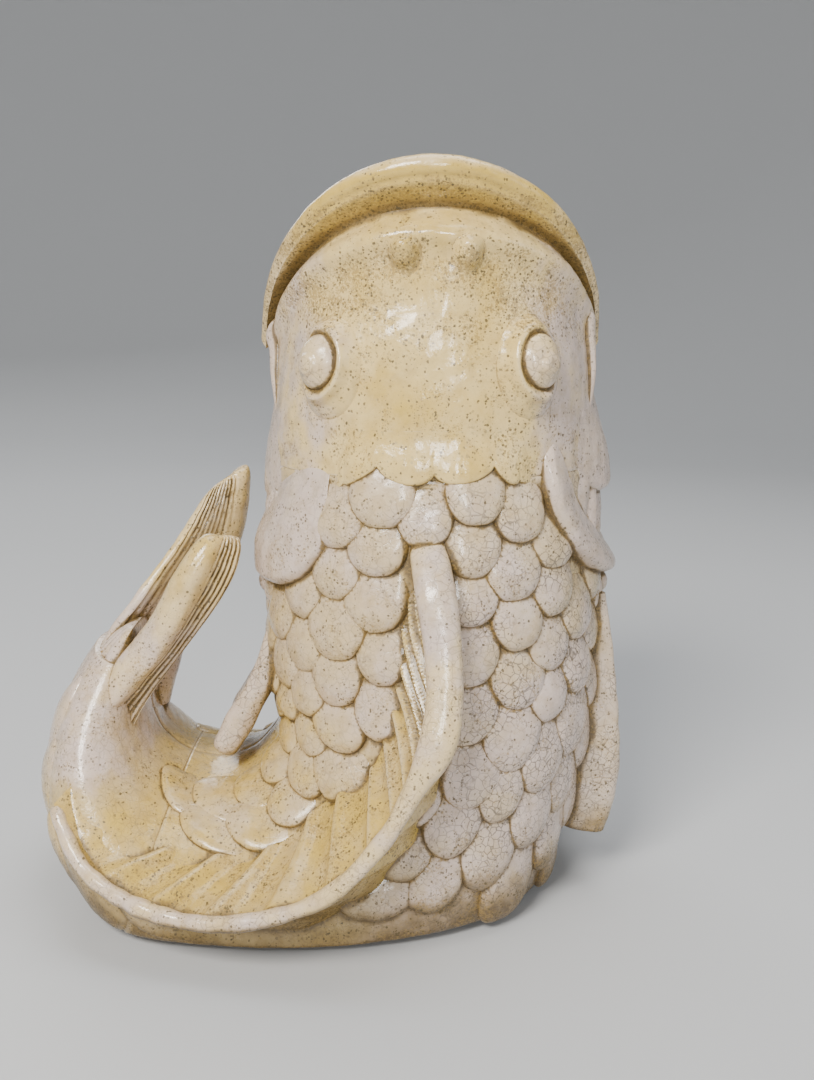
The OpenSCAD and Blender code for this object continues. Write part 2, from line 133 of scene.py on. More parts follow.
def lumps(p, size, seed):
    """Smooth hand-made unevenness, about -1 to 1, over points in mm."""
    rng = np.random.RandomState(seed)
    total = np.zeros(p.shape[:-1])
    for _ in range(7):
        k = rng.normal(size=3)
        k *= 2 * math.pi / size / np.linalg.norm(k) * rng.uniform(0.7, 1.5)
        total += np.sin(p @ k + rng.uniform(0, 6.28))
    return total / 3.2


# ---------- the spine ----------
HEAD_WIDTHS = [106, 110, 114, 118.5, 122, 123.5, 124.5, 125, 125]
HEAD_DEPTHS = [98, 105, 112, 116, 119, 121, 123, 125, 126]
# Curl: angle from the curl centre, outer radius, half depth
CURL = [
    (0, 300, 126),
    (-20, 300, 130),
    (-40, 318, 137),
    (-62, 296, 146),
    (-85, 238, 146),
    (-108, 218, 137),
    (-130, 182, 118),
    (-150, 154, 98),
    (-168, 127, 79),
    (-185, 108, 63),
    (-198, 98, 51),
]


def straight(i):
    return [LEAN, HEAD_TOP - STEP * i, 0, HEAD_WIDTHS[i], HEAD_DEPTHS[i]]


def curled(a, outer, depth):
    seat = SEAT_RADIUS + SEAT_DROP * max(0, -sind(a))
    mid = (seat + outer) / 2
    return [
        cosd(a) * mid - CURL_OFFSET,
        CURL_START + sind(a) * mid,
        a,
        (outer - seat) / 2,
        depth,
    ]


STATIONS = [straight(i) for i in range(9)] + [curled(*k) for k in CURL]


def skin(t, v, h=0.0):
    s = along(STATIONS, np.asarray(t) / LAST)
    c = cosd(v) * (s[..., 3] + h)
    level = FOOT_RISE - np.minimum(h, FLAT)
    d = s[..., 1] + c * sind(s[..., 2]) - level
    return np.stack(
        np.broadcast_arrays(
            s[..., 0] + c * cosd(s[..., 2]),
            -sind(v) * (s[..., 4] + h),
            level + (d + np.sqrt(d * d + FOOT_BLEND**2)) / 2,
        ),
        -1,
    )


def crease(v):
    s = sind(v)
    return 432 + (np.where(s > 0, 521, 496) - 432) * np.abs(s) ** 0.7


def crease_station(v):
    return (HEAD_TOP - crease(v)) / STEP


EYES = ((3.22, 129, 1), (3.2, 57, -1))


def eye_place(t, v, eye):
    """Millimetres from an eye's centre: toward the forehead, and down."""
    te, ve, side = eye
    return -side * turn(v, ve) * DEGREE, (t - te) * STEP


def relief(t, v):
    """Height of the smooth modelled head above the swept skin."""
    t, v = np.broadcast_arrays(np.asarray(t, float), np.asarray(v, float))
    d = (t - crease_station(v)) * STEP
    front = np.maximum(sind(v), 0)
    h = (3.5 + 5.5 * front) * hill(d, 17, 10.5)
    h = h - 4 * np.exp(-((np.maximum(d, 0) / 8) ** 2))
    h = h - 2.6 * hill(t, 2.35, 0.45) * hill(turn(v, 92), 0, 26)
    for ve in (128, 55):
        h = h - 2.4 * hill(t, 2.2, 0.42) * hill(turn(v, ve), 0, 15)
    for eye in EYES:
        x, y = eye_place(t, v, eye)
        r = np.hypot((x - 4) / 34, (y - 6) / 42)
        h = h + 4.5 * np.exp(-(r**2))
    h = h + 1.5 * hill(t, 3.1, 0.8) * hill(turn(v, 93), 0, 14)
    h = h * (1 - smooth((t - 4.7) / 0.8))
    return h + 0.7 * lumps(skin(t, v), 55, 3) * (1 - smooth((t - 5) / 1.5))


# ---------- meshes from grids ----------
made = []


def quads(rows, cols, start, flip):
    i, j = np.meshgrid(np.arange(rows - 1), np.arange(cols - 1), indexing="ij")
    a = (start + i * cols + j).ravel()
    q = np.stack([a, a + 1, a + cols + 1, a + cols], -1)
    return q[:, ::-1] if flip else q


class Solid:
    """Points, faces and glaze values of one piece, in mm from the axis."""

    def __init__(self):
        self.points, self.faces, self.seen, self.count = [], [], [], 0

    def add(self, points, faces, seen):
        self.points.append(points)
        self.faces.append(faces)
        self.seen.append(np.full(len(points), seen))
        self.count += len(points)

    def slab(self, front, back):
        """A closed slab between two grids of the same size."""
        r, c = front.shape[:2]
        n, at = r * c, self.count
        ring = np.concatenate(
            [
                np.arange(c),
                np.arange(1, r) * c + c - 1,
                (r - 1) * c + np.arange(c - 2, -1, -1),
                np.arange(r - 2, 0, -1) * c,
            ]
        )
        nxt = np.roll(ring, -1)
        rim = np.stack([ring + n, nxt + n, nxt, ring], -1) + at
        self.add(front.reshape(-1, 3), quads(r, c, at, False), True)
        self.add(
            back.reshape(-1, 3), np.vstack([quads(r, c, at + n, True), rim]), False
        )
        return self

    def cushion(self, rings, under):
        """A closed pad: rings from the centre outward, and a hidden underside."""
        r, c = rings.shape[:2]
        at = self.count
        i, j = np.meshgrid(np.arange(r - 1), np.arange(c), indexing="ij")
        a, b = (i * c + j).ravel(), (i * c + (j + 1) % c).ravel()
        top = np.stack([a, b, b + c, a + c], -1) + at
        hub, pit = at + r * c, at + r * c + 1
        j = np.arange(c)
        k = (j + 1) % c
        first = np.stack([np.full(c, hub), at + k, at + j, at + j], -1)
        last = at + (r - 1) * c
        low = np.stack([np.full(c, pit), last + j, last + k, last + k], -1)
        self.add(rings.reshape(-1, 3), np.vstack([top, first, low]), True)
        self.add(np.array([rings[0].mean(0), under]), np.zeros((0, 4), int), True)
        return self

    def tube(self, rings, closed=False):
        """A closed tube through a list of rings."""
        r, c = rings.shape[:2]
        at = self.count
        rows = np.arange(r if closed else r - 1)
        i, j = np.meshgrid(rows, np.arange(c), indexing="ij")
        a, b = i * c + j, i * c + (j + 1) % c
        d, e = ((i + 1) % r) * c + j, ((i + 1) % r) * c + (j + 1) % c
        faces = [np.stack([a.ravel(), b.ravel(), e.ravel(), d.ravel()], -1) + at]
        extra = []
        if not closed:
            j = np.arange(c)
            k = (j + 1) % c
            hub, end = at + r * c, at + r * c + 1
            faces.append(np.stack([np.full(c, hub), at + k, at + j, at + j], -1))
            last = at + (r - 1) * c
            faces.append(np.stack([np.full(c, end), last + j, last + k, last + k], -1))
            extra = [rings[0].mean(0), rings[-1].mean(0)]
        self.add(rings.reshape(-1, 3), np.vstack(faces), True)
        if extra:
            self.add(np.array(extra), np.zeros((0, 4), int), True)
        return self

    def finish(self, name, slot, look):
        """Makes the Blender object that stands for the CAD node of that name."""
        pts = np.vstack(self.points)
        faces = np.vstack(self.faces)
        pts = pts.copy()
        pts += 0.22 * lumps(pts, 13, 11)[:, None] * unit(pts - [0, 0, 300])
        tri = np.vstack([faces[:, [0, 1, 2]], faces[faces[:, 2] != faces[:, 3]][:, [0, 2, 3]]])
        a, b, c = pts[tri[:, 0]], pts[tri[:, 1]], pts[tri[:, 2]]
        if np.einsum("ij,ij->i", a, np.cross(b, c)).sum() < 0:
            faces = faces[:, ::-1]
        world = pts * MM + AXIS
        lists = [
            f[:3] if f[2] == f[3] else (f[1:] if f[0] == f[1] else f)
            for f in faces.tolist()
        ]
        mesh = bpy.data.meshes.new(name)
        mesh.from_pydata(world.tolist(), [], lists)
        mesh.validate()
        mesh.shade_smooth()
        mesh.set_sharp_from_angle(angle=math.radians(62))
        obj = bpy.data.objects.new(name, mesh)
        bpy.context.scene.collection.objects.link(obj)
        for key, value in look(pts).items():
            put(mesh, key, value)
        mesh.materials.append(glazes[slot])
        made.append((obj, np.concatenate(self.seen)))
        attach(obj, "root")
        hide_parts(name)
        return obj


def put(mesh, key, value):
    layer = mesh.attributes.new(key, "FLOAT", "POINT")
    layer.data.foreach_set("value", np.clip(value, 0, 1).astype(np.float32))


def grid(rows, cols, dense_ends=False):
    f, u = np.meshgrid(
        np.linspace(0, 1, rows), np.linspace(0, 1, cols), indexing="ij"
    )
    if dense_ends:
        u = (1 - np.cos(math.pi * u)) / 2
    return f, u


# ---------- the glaze ----------
class Tree:
    """Shorthand for building one material's nodes."""

    def __init__(self, name):
        self.mat = bpy.data.materials.new(name)
        self.mat.use_nodes = True
        self.nodes = self.mat.node_tree.nodes
        self.links = self.mat.node_tree.links
        self.shader = self.nodes["Principled BSDF"]
        self.place = self.nodes.new("ShaderNodeTexCoord").outputs["Object"]

    def put(self, socket, value):
        if isinstance(value, bpy.types.NodeSocket):
            self.links.new(value, socket)
        elif value is not None:
            socket.default_value = value

    def value(self, name):
        node = self.nodes.new("ShaderNodeAttribute")
        node.attribute_name = name
        return node.outputs["Fac"]

    def math(self, kind, a, b=0.0, clamp=False):
        node = self.nodes.new("ShaderNodeMath")
        node.operation = kind
        node.use_clamp = clamp
        self.put(node.inputs[0], a)
        self.put(node.inputs[1], b)
        return node.outputs[0]

    def fit(self, x, lo, hi, out_lo=0.0, out_hi=1.0):
        node = self.nodes.new("ShaderNodeMapRange")
        node.interpolation_type = "SMOOTHSTEP"
        for k, item in enumerate((x, lo, hi, out_lo, out_hi)):
            self.put(node.inputs[k], item)
        return node.outputs[0]

    def blend(self, f, a, b):
        node = self.nodes.new("ShaderNodeMix")
        node.data_type = "RGBA"
        self.put(node.inputs["Factor"], f)
        self.put(node.inputs[6], a if not isinstance(a, tuple) else (*a, 1))
        self.put(node.inputs[7], b if not isinstance(b, tuple) else (*b, 1))
        return node.outputs[2]

    def noise(self, scale, detail=3.0, rough=0.5, place=None):
        node = self.nodes.new("ShaderNodeTexNoise")
        node.inputs["Scale"].default_value = scale
        node.inputs["Detail"].default_value = detail
        node.inputs["Roughness"].default_value = rough
        self.put(node.inputs["Vector"], place or self.place)
        return node.outputs["Fac"]

    def cells(self, scale, feature, place=None):
        node = self.nodes.new("ShaderNodeTexVoronoi")
        node.feature = feature
        node.inputs["Scale"].default_value = scale
        self.put(node.inputs["Vector"], place or self.place)
        return node

    def bent(self, scale, amount):
        """The object's coordinates, pushed about by noise."""
        node = self.nodes.new("ShaderNodeTexNoise")
        node.inputs["Scale"].default_value = scale
        node.inputs["Detail"].default_value = 2.0
        self.put(node.inputs["Vector"], self.place)
        mad = self.nodes.new("ShaderNodeVectorMath")
        mad.operation = "MULTIPLY_ADD"
        self.put(mad.inputs[0], node.outputs["Color"])
        mad.inputs[1].default_value = (amount, amount, amount)
        self.put(mad.inputs[2], self.place)
        return mad.outputs[0]

    def bump(self, height, strength, distance, under=None):
        node = self.nodes.new("ShaderNodeBump")
        node.inputs["Strength"].default_value = strength
        node.inputs["Distance"].default_value = distance
        self.put(node.inputs["Height"], height)
        if under is not None:
            self.put(node.inputs["Normal"], under)
        return node.outputs[0]


LAVENDER = (0.62, 0.50, 0.43)
CREAM = (0.76, 0.565, 0.235)
OCHRE = (0.60, 0.41, 0.085)
DEEP = (0.30, 0.19, 0.05)
# dark brown for glaze gathered in grooves and for painted shade
POOL_SHADE_BROWN = (0.085, 0.05, 0.012)
SPECK = (0.085, 0.06, 0.02)
CRACK = (0.075, 0.058, 0.04)


def glaze(name, gloss, cream):
    """Crackled, speckled stoneware glaze. gloss is its roughness at its best."""
    t = Tree(name)
    tone, pool_and_shade = t.value("tone"), t.value("pool_and_shade")
    drift = t.noise(14, 3, 0.6)
    patch = t.noise(55, 4, 0.6)
    # from lavender grey through cream to ochre, as the glaze gets thicker; the lavender end also
    # paints a cool reflection on the sides of the head and the lower right of the body
    tone = t.math("ADD", tone, t.fit(drift, 0.3, 0.7, -0.16, 0.16), True)
    tone = t.math("ADD", tone, t.fit(patch, 0.3, 0.7, -0.08, 0.08), True)
    base = t.blend(t.fit(tone, 0.0, 0.45), LAVENDER, cream)
    base = t.blend(t.fit(tone, 0.4, 0.95), base, OCHRE)
    # cloudy patches
    base = t.blend(t.fit(t.noise(90, 5, 0.65), 0.4, 0.75, 0, 0.34), base, DEEP)
    # glaze gathered in the grooves, with painted shade in the hollows, on the undersides and near
    # the ground
    mottled = t.math("MULTIPLY_ADD", t.fit(patch, 0.25, 0.75, 0.7, 1.25), pool_and_shade)
    mottled.node.inputs[2].default_value = 0.0
    pool_shade_mask = t.fit(mottled, 0.22, 0.95)
    base = t.blend(t.math("MULTIPLY", t.fit(mottled, 0.1, 0.6), 0.6), base, DEEP)
    base = t.blend(t.math("MULTIPLY", pool_shade_mask, 0.88), base, POOL_SHADE_BROWN)
    # worn pale edges
    base = t.blend(t.math("MULTIPLY", t.value("wear"), 0.5), base, (0.74, 0.62, 0.44))
    # crackle: coarse cells with finer ones inside
    place = t.bent(90, 0.006)
    coarse = t.cells(165, "DISTANCE_TO_EDGE", place).outputs["Distance"]
    fine = t.cells(340, "DISTANCE_TO_EDGE", t.bent(150, 0.003)).outputs["Distance"]
    shown = t.math("MULTIPLY", t.value("crackle"), t.fit(t.noise(30, 2), 0.3, 0.6))
    lines = t.math("MULTIPLY", t.fit(coarse, 0.0, 0.085, 1, 0), shown)
    small = t.math("MULTIPLY", t.fit(fine, 0.0, 0.11, 1, 0), shown)
    small = t.math("MULTIPLY", small, t.fit(t.noise(70, 2), 0.45, 0.7, 0, 0.7))
    lines = t.math("MAXIMUM", lines, small)
    base = t.blend(t.math("MULTIPLY", lines, 0.8), base, CRACK)
    # fine brown grain, thicker where glaze gathers and where shade is painted
    cloud = t.fit(t.noise(38, 4, 0.6), 0.35, 0.68, -0.32, 0.32)
    near_pool_and_shade = t.math("MULTIPLY", t.value("pool_and_shade"), 0.55)
    spread = t.math("ADD", t.math("ADD", t.value("speck"), near_pool_and_shade), cloud)
    grain = t.noise(520, 3, 0.75)
    cut = t.fit(spread, 0.0, 1.4, 0.66, 0.41)
    grains = t.math("MULTIPLY", t.math("SUBTRACT", grain, cut), 11.0, True)
    base = t.blend(t.math("MULTIPLY", grains, 0.62), base, DEEP)
    # iron specks: dots in some of the cells
    dots = t.cells(560, "F1", t.bent(300, 0.002))
    cut = t.fit(spread, 0.0, 1.4, 0.92, 0.25)
    pick = t.nodes.new("ShaderNodeSeparateColor")
    t.put(pick.inputs[0], dots.outputs["Color"])
    chosen = t.math("GREATER_THAN", pick.outputs[0], cut)
    size = t.fit(pick.outputs[1], 0, 1, 0.22, 0.6)
    near = t.math("LESS_THAN", dots.outputs["Distance"], size)
    specks = t.math("MULTIPLY", chosen, near)
    strength = t.fit(pick.outputs[2], 0, 1, 0.3, 0.9)
    base = t.blend(t.math("MULTIPLY", specks, strength), base, SPECK)
    t.put(t.shader.inputs["Base Color"], base)
    # gloss breaks up where the glaze is thin, crackled, gathered in grooves and under painted
    # shade
    rough = t.math("ADD", t.fit(t.noise(75, 4, 0.6), 0.3, 0.75, 0, 0.16), gloss)
    rough = t.math("ADD", rough, t.math("MULTIPLY", pool_shade_mask, 0.3))
    rough = t.math("ADD", rough, t.math("MULTIPLY", specks, 0.2), True)
    t.put(t.shader.inputs["Roughness"], rough)
    t.shader.inputs["Coat Weight"].default_value = 0.35
    t.shader.inputs["Coat Roughness"].default_value = 0.08
    t.shader.inputs["IOR"].default_value = 1.5
    # orange peel, pits at the specks, fine steps at the crackle
    relief_ = t.bump(t.noise(42, 3, 0.5), 0.35, 0.004)
    relief_ = t.bump(t.noise(230, 3, 0.6), 0.25, 0.0012, relief_)
    relief_ = t.bump(t.math("SUBTRACT", 1.0, lines), 0.35, 0.0004, relief_)
    relief_ = t.bump(t.math("SUBTRACT", 1.0, specks), 0.3, 0.0003, relief_)
    t.put(t.shader.inputs["Normal"], relief_)
    return t.mat


def bisque(name):
    """Bare fired clay: sandy and matt, with painted shade where it touches the ground."""
    t = Tree(name)
    base = t.blend(t.fit(t.noise(60, 5, 0.65), 0.3, 0.7), (0.30, 0.22, 0.13), (0.42, 0.33, 0.21))
    sand = t.cells(900, "F1").outputs["Distance"]
    base = t.blend(t.fit(sand, 0.15, 0.5, 0.5, 0), base, (0.16, 0.11, 0.06))
    # painted shade near the ground and on the underside
    base = t.blend(t.math("MULTIPLY", t.value("pool_and_shade"), 0.6), base, POOL_SHADE_BROWN)
    t.put(t.shader.inputs["Base Color"], base)
    t.put(t.shader.inputs["Roughness"], t.fit(t.noise(200, 3), 0.3, 0.7, 0.75, 0.95))
    t.put(t.shader.inputs["Normal"], t.bump(sand, 0.5, 0.0006, t.bump(t.noise(90, 4), 0.5, 0.002)))
    return t.mat


glazes = {
    "glaze_head": glaze("glaze_head", 0.13, CREAM),
    "glaze_scale": glaze("glaze_scale", 0.20, (0.60, 0.465, 0.28)),
    "glaze_pale": glaze("glaze_pale", 0.18, (0.72, 0.55, 0.29)),
    "glaze_ochre": glaze("glaze_ochre", 0.17, (0.58, 0.43, 0.20)),
    "glaze_grey": glaze("glaze_grey", 0.24, (0.60, 0.485, 0.375)),
    "bisque_foot": bisque("bisque_foot"),
}


def look(tone, speck, crackle):
    """Glaze values over a piece: numbers, or functions of points in mm."""

    def values(p):
        out = {}
        for key, item in (("tone", tone), ("speck", speck), ("crackle", crackle)):
            found = item(p) if callable(item) else item
            out[key] = np.broadcast_to(found, len(p)).astype(float)
        return out

    return values


def head_tone(p):
    # ochre down the middle of the face; the lower tone on the sides is a painted cool reflection
    across = 1 - smooth((np.abs(p[:, 0] + 4) - 35) / 62)
    front = smooth((-p[:, 1] - 20) / 60)
    return 0.14 + 0.44 * across * front


def head_speck(p):
    x, z = p[:, 0], p[:, 2]
    muzzle = hill(np.hypot((np.abs(x + 4) - 62) / 42, (z - 462) / 30), 0, 1)
    nape = hill(z, 360, 30) * hill(np.abs(x), 55, 45)
    under = hill(np.hypot((np.abs(x) - 22) / 22, (z - 483) / 16), 0, 1)
    return 0.36 + 0.75 * muzzle + 0.3 * nape + 0.45 * under


def lip_rise(p):
    """0 at the crease of the lip, 1 at its edge."""
    v = np.degrees(np.arctan2(-p[:, 1], p[:, 0] - LEAN))
    return np.clip((p[:, 2] - crease(v)) / 30, 0, 1)


def lip_tone(p):
    side = smooth((np.abs(p[:, 0]) - 70) / 45)
    # the sides of the lip drop toward lavender grey, a painted cool reflection as on the head's
    # sides
    return 0.95 - 0.45 * smooth((lip_rise(p) - 0.75) / 0.25) - 0.5 * side


def lip_speck(p):
    return 1.15 - 0.95 * smooth((lip_rise(p) - 0.3) / 0.5)


def body_tone(p):
    x, z = p[:, 0], p[:, 2]
    left = smooth((20 - x) / 150)
    low = smooth((300 - z) / 160)
    stalk = smooth((-205 - x) / 22) * smooth((z - 85) / 40)
    # less tone low on the right: a painted cool reflected light
    tone = 0.16 + 0.13 * (1 - low) + 0.5 * left * low - 0.12 * (1 - left) * low
    return mix(tone, 0.12, stalk)


def body_crackle(p):
    return 0.35 + 0.6 * smooth((p[:, 0] + 60) / 120) * smooth((420 - p[:, 2]) / 140)


def tail_tone(p):
    return 0.12 + 0.5 * smooth((p[:, 2] - 205) / 70)


LOOKS = {
    "head": look(head_tone, head_speck, 0.06),
    "lip": look(lip_tone, lip_speck, 0.03),
    "body": look(body_tone, 0.42, body_crackle),
    "grey": look(0.14, 0.4, 0.25),
    "dish": look(0.72, 0.62, 0.15),
    "crest": look(0.26, 0.26, 0.5),
    "fin": look(0.4, 0.42, 0.8),
    "tail": look(tail_tone, 0.42, 0.2),
    "foot": look(0.5, 0.5, 0.0),
}


# ---------- shells ----------
def shell(name, t0, t1, v0, rows, cols, slot, kind):
    f, u = grid(rows, cols)
    v = mix(v0 - SEAM_V, v0 + 180 + SEAM_V, u)
    start = crease_station(v) if t0 is None else t0 - SEAM_T
    t = mix(start, t1 + SEAM_T, f)
    h = relief(t, v)
    # the edges dive under the neighbour, so that no seam is left open
    h[-1], h[:, 0], h[:, -1] = h[-1] - 1.5, h[:, 0] - 1.5, h[:, -1] - 1.5
    if t0 is not None:
        h[0] -= 1.5
    outer = skin(t, v, h)
    Solid().slab(outer, skin(t, v, -WALL)).finish(name, slot, LOOKS[kind])


shell("head_shell_front", None, 5, 0, 120, 230, "glaze_head", "head")
shell("head_shell_rear", None, 5, 180, 90, 180, "glaze_head", "head")
for side, v0 in (("front", 0), ("rear", 180)):
    shell("trunk_shell_" + side, 5, 9, v0, 60, 120, "glaze_ochre", "body")
    shell("curl_shell_" + side, 9, 14, v0, 90, 120, "glaze_ochre", "body")
    shell("tail_shell_" + side, 14, 19, v0, 60, 90, "glaze_ochre", "body")


def foot():
    radius, span = 104, 71
    a = np.linspace(0, 360, 160, endpoint=False)
    x = radius * cosd(a) + np.where(cosd(a) > 0, span, -span)
    rings = []
    for shrink, z in ((8, 0), (2, 0.6), (0, 2.2), (0, 4.5), (1, 6)):
        k = (radius - shrink) / radius
        rings.append(
            np.stack([x * k + FOOT_CENTRE_X, radius * sind(a) * k, a * 0 + z], -1)
        )
    Solid().tube(np.array(rings)).finish("foot_slab", "bisque_foot", LOOKS["foot"])


foot()


# ---------- mouth ----------
def lip(name, v0, top):
    v = v0 + np.linspace(0, 180, 210)
    s = along(STATIONS, crease_station(v) / LAST)
    z0 = crease(v)
    z1 = mix(438, top, np.abs(sind(v)) ** 0.87)
    flare = 13 * (0.85 + 0.15 * np.abs(sind(v)))
    wave = 0.8 * lumps(skin(crease_station(v), v), 70, 5)
    rings = []
    for q in np.linspace(0, 1, 16):
        rings.append((mix(-5.0, flare - 3, smooth(q) ** 1.4), mix(z0 - 4, z1 - 14, q)))
    for a in np.linspace(-50, 175, 20):
        rings.append((flare - 8 + 8 * cosd(a), z1 - 6 + 8 * sind(a)))
    for q in np.linspace(1, 0, 12):
        rings.append((mix(-WALL, flare - 16, q * q), mix(z0 - 4, z1 - 7, q)))
    loops = np.array(
        [
            np.stack(
                [
                    cosd(v) * (s[:, 3] + out + wave),
                    -sind(v) * (s[:, 4] + out + wave),
                    z + wave * 0.6,
                ],
                -1,
            )
            for out, z in rings
        ]
    ).transpose(1, 0, 2)
    Solid().tube(loops).finish(name, "glaze_pale", LOOKS["lip"])


lip("upper_lip", 0, 552)
lip("lower_lip", 180, 519)


# ---------- raised work on the head ----------
def patch(name, slot, kind, spots, rings=34, sides=84):
    """Pads on the skin. Each spot: t, v, radius, side, height(x, y) in mm."""
    solid = Solid()
    for t0, v0, radius, side, height in spots:
        r = np.linspace(0.02, 1, rings)[:, None] * radius
        a = np.linspace(0, 360, sides, endpoint=False)[None, :]
        x, y = r * cosd(a), r * sind(a)
        t, v = t0 + y / STEP, v0 - side * x / DEGREE
        h = height(x, y) + relief(t, v)
        h[-1] -= 4
        under = skin(t0, v0, -4.0)
        solid.cushion(skin(t, v, h), under)
    return solid.finish(name, slot, LOOKS[kind])


def nostril(x, y):
    r = np.hypot(x, y)
    bead = 9.5 * np.exp(-((r / 9.6) ** 3.2))
    trail = 4.0 * hill(x, 0, 6.5) * smooth((26 - y) / 26) * smooth((y + 4) / 8)
    return bead + trail * (1 - bead / 9.5) - 1.2


patch("nostril_left", "glaze_head", "head", [(1.56, 101, 26, 1, nostril)])
patch("nostril_right", "glaze_head", "head", [(1.56, 80, 26, -1, nostril)])


def eye_base(x, y):
    outer = np.hypot((x - 3) / 28, (y - 4) / 36)
    return 10 * np.maximum(1 - outer**2, 0) ** 0.78


def lid(x, y):
    """Soft mound round the eye, with a rolled ridge close to the ball."""
    socket = np.hypot(x / 14.5, y / 17.5)
    dip = 1 - smooth((socket - 0.78) / 0.4)
    ridge = 4.4 * hill(socket, 1.4, 0.22) * smooth((x + 22) / 20)
    return eye_base(x, y) + ridge - 3.0 * dip - 0.6


def ball(x, y):
    r = np.hypot(x / 16.5, y / 19.5)
    pupil = np.hypot(x + 2, y - 1)
    return 5.5 + 10.5 * dome(np.minimum(r, 1), 2.0) + 1.9 * (1 - smooth((pupil - 5.5) / 3.5))


for side, eye in (("left", EYES[0]), ("right", EYES[1])):
    te, ve, s = eye
    patch("eyelid_" + side, "glaze_head", "head", [(te, ve, 44, s, lid)], 60, 120)
    patch("eyeball_" + side, "glaze_pale", "crest", [(te, ve, 19.5, s, ball)], 36, 90)


def bead(name, slot, kind, path, steps, lean=0.0, foot_=0.0):
    """A rolled bead laid on the skin along [t, v, half width, height]."""
    u = np.linspace(0, 1, steps)
    k = along(path, u)
    a, b = along(path, np.maximum(u - 0.02, 0)), along(path, np.minimum(u + 0.02, 1))
    dt, dv = (b - a)[:, 0] * STEP, (b - a)[:, 1] * DEGREE
    size = np.maximum(np.hypot(dt, dv), 1e-3)
    ut, uv = -dv / size / STEP, dt / size / DEGREE
    loops = []
    for ang in np.linspace(-20, 200, 26):
        c, s = cosd(ang), sind(ang)
        w = (c + lean * max(s, 0)) * k[:, 2]
        h = np.where(s > 0, np.abs(s) ** 0.85 * k[:, 3], s * 8) - 1
        t, v = k[:, 0] + ut * w, k[:, 1] + uv * w
        loops.append(skin(t, v, h + relief(t, v) - foot_))
    for c in (-0.5, 0.5):
        t, v = k[:, 0] + ut * c * k[:, 2], k[:, 1] + uv * c * k[:, 2]
        loops.append(skin(t, v, -5.0))
    return Solid().tube(np.array(loops).transpose(1, 0, 2)).finish(name, slot, LOOKS[kind])


for side, v0, v1 in (("left", 172, 167), ("right", 19, 21)):
    path = [
        (2.45, v0, 1.5, 0.5),
        (2.6, v0, 4.5, 5),
        (3, v0, 5, 7),
        (3.6, (v0 + v1) / 2, 4, 5),
        (4.2, v1, 1.5, 0.5),
    ]
    bead("barbel_" + side, "glaze_grey", "grey", path, 60)


def apron():
    """Scalloped edge of the smooth head, lapping over the first scales."""
    f, u = grid(46, 240)
    v = mix(54, 128, u)
    cusps = np.array([46, 63, 72, 91, 109, 121, 130])
    at_cusp = np.array([5.12, 5.08, 4.84, 4.95, 4.84, 5.14, 5.5])
    deep = np.array([0.06, 0.13, 0.2, 0.22, 0.08, 0.0])
    i = np.clip(np.searchsorted(cusps, v) - 1, 0, len(deep) - 1)
    part = np.clip((v - cusps[i]) / (cusps[i + 1] - cusps[i]), 0, 1)
    lobe = np.sin(math.pi * part) ** 0.6
    edge = np.interp(v, cusps, at_cusp) + deep[i] * lobe
    t = mix(4.25, edge, f)
    back = (edge - t) * STEP
    lift = 4.4 * smooth((f - 0.05) / 0.75) * (0.65 + 0.35 * lobe)
    roll = dome(np.clip(1 - back / 4.5, 0, 1), 2.2)
    sides = smooth(np.minimum(u, 1 - u) / 0.15)
    h = relief(t, v) + (lift + 2) * roll * sides - 2.0
    Solid().slab(skin(t, v, h), skin(t, v, -3.0)).finish(
        "nape_apron", "glaze_head", LOOKS["head"]
    )


apron()
RIGHT_CHEEK = [4.2, 4.62, 5.2, 5.45, 5.52, 5.5, 5.4, 5.2, 4.9, 4.6]
LEFT_CHEEK = [4.6, 5.4, 5.75, 5.8, 5.76, 5.7, 5.6, 5.4, 5.1, 4.7]


def cheek(name, edge_knots, v0, v1, bulge, soft):
    """The head's side swells to a rounded lower edge over the gill."""
    f, u = grid(80, 130)
    edge = along(edge_knots, u)
    t, v = mix(3.2, edge, f), mix(v0, v1, u)
    ends = smooth((u - soft / 3) / soft) * smooth((1 - u) / 0.2)
    swell = smooth((f - 0.1) / 0.8) * ends
    back = (edge - t) * STEP
    roll = dome(np.clip(1 - back / 8, 0, 1), 2.0)
    h = relief(t, v) + bulge * swell - 1.2 * (1 - swell)
    h = h + (bulge * swell + 3) * (roll - 1)
    Solid().slab(skin(t, v, h), skin(t, v, -4.0)).finish(
        name, "glaze_grey", LOOKS["grey"]
    )


cheek("cheek_left", LEFT_CHEEK, 134, 208, 9, 0.55)
cheek("cheek_right", RIGHT_CHEEK, 50, -30, 13, 0.4)


def fringe(name, edge_knots, v0, v1, depth, folds):
    """Leaf-like folds in the recess behind the cheek."""
    f, u = grid(70, 200)
    top = along(edge_knots, u)
    t = mix(top - 0.35, top + depth * np.sin(math.pi * mix(0.1, 0.9, u)) ** 0.5, f)
    v = mix(v0, v1, u)
    lane = u * folds + 0.9 * f + 0.25 * np.sin(3 * u * folds)
    ridge = 1 - (2 * np.abs(lane % 1 - 0.5)) ** 1.5
    leaf = np.sin(math.pi * np.clip(f * 1.02, 0, 1)) ** 0.4
    h = 1.6 + 3.6 * ridge * leaf + 2.2 * f
    h = h - 9 * (1 - smooth((np.minimum(u, 1 - u) - 0.1) / 0.25))
    Solid().slab(skin(t, v, h), skin(t, v, -4.0)).finish(
        name, "glaze_grey", LOOKS["grey"]
    )


fringe("gill_fringe_left", LEFT_CHEEK, 134, 205, 0.5, 5)
fringe("gill_fringe_right", RIGHT_CHEEK, 48, -26, 1.1, 6)


